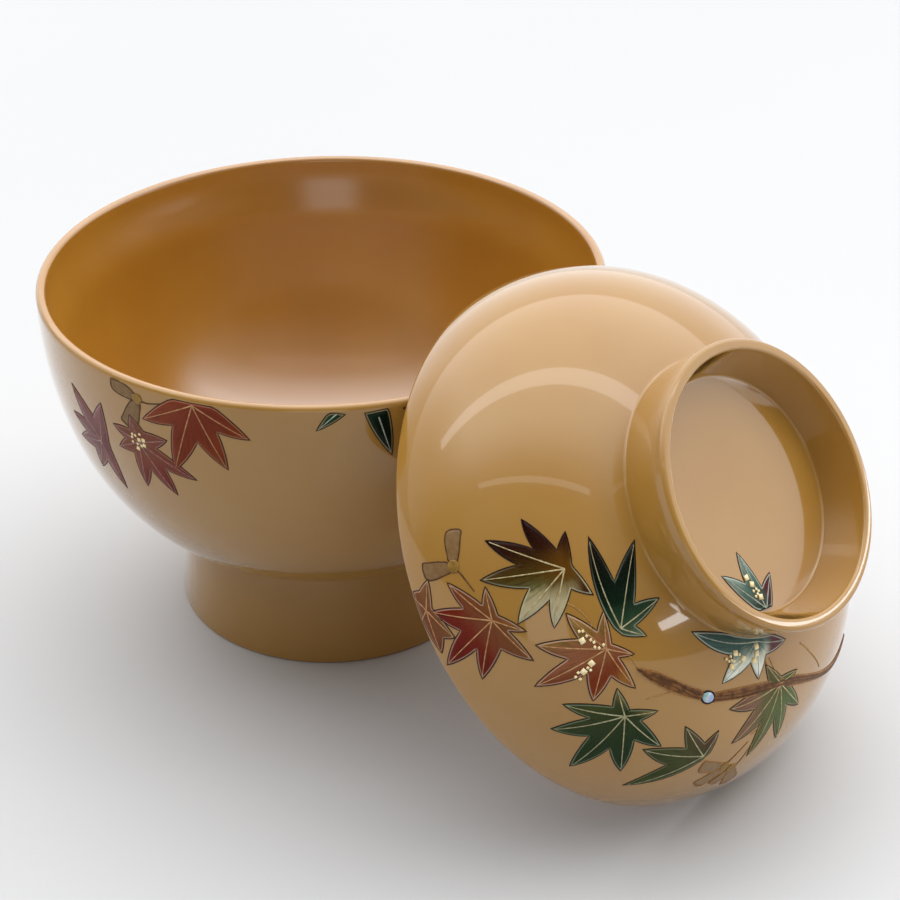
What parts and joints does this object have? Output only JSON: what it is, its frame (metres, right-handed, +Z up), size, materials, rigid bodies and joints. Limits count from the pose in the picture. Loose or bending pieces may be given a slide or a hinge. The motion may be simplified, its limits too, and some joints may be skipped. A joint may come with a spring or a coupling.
{
  "type": "lidded lacquer bowl",
  "caption": "Footed round lacquer soup bowl with a domed lid taken off and leaning on its rim, decorated with maple leaves in raised lacquer.",
  "frame": {"origin": "on the table, under the middle of the bowl and its leaning lid", "axes": "+X from the bowl's axis towards the side where the lid leans, +Z up"},
  "size_m": [0.1974, 0.1266, 0.0981],
  "materials": {
    "bowl_lacquer": "polished tan lacquer over turned wood",
    "lid_lacquer": "polished tan lacquer over turned wood",
    "shell": "polished iridescent shell",
    "leaf_red": "raised red lacquer with gold powder",
    "leaf_purple": "raised purple lacquer",
    "leaf_brown": "raised brown lacquer with gold powder",
    "leaf_green": "raised green lacquer",
    "leaf_dark_green": "raised dark green lacquer",
    "leaf_pale_green": "raised pale green lacquer with silver powder",
    "branch": "raised brown lacquer",
    "seed_key": "raised tan lacquer with gold powder"
  },
  "bodies": {
    "bowl": {"bowl": "bowl_lacquer", "bowl_leaf_purple": "leaf_purple", "bowl_leaf_red": "leaf_red", "bowl_leaf_red_rim": "leaf_red", "bowl_leaf_green_rim": "leaf_dark_green", "bowl_seed_key": "seed_key"},
    "lid": {"lid": "lid_lacquer", "shell_inlay": "shell", "lid_leaf_brown": "leaf_brown", "lid_leaf_dark": "leaf_dark_green", "lid_leaf_red": "leaf_red", "lid_leaf_red_gold": "leaf_red", "lid_leaf_green": "leaf_green", "lid_leaf_green_side": "leaf_green", "lid_leaf_green_purple": "leaf_green", "lid_leaf_by_ring": "leaf_pale_green", "lid_leaf_in_recess": "leaf_pale_green", "lid_seed_key_upper": "seed_key", "lid_seed_key_lower": "seed_key", "lid_branch_left": "branch", "lid_branch_right": "branch"}
  },
  "joints": [
    {"name": "lid_lift", "type": "slide", "parent": "bowl", "child": "lid", "axis": [0.8028, 0, 0.5962], "range_m": [0, 0.08]}
  ]
}
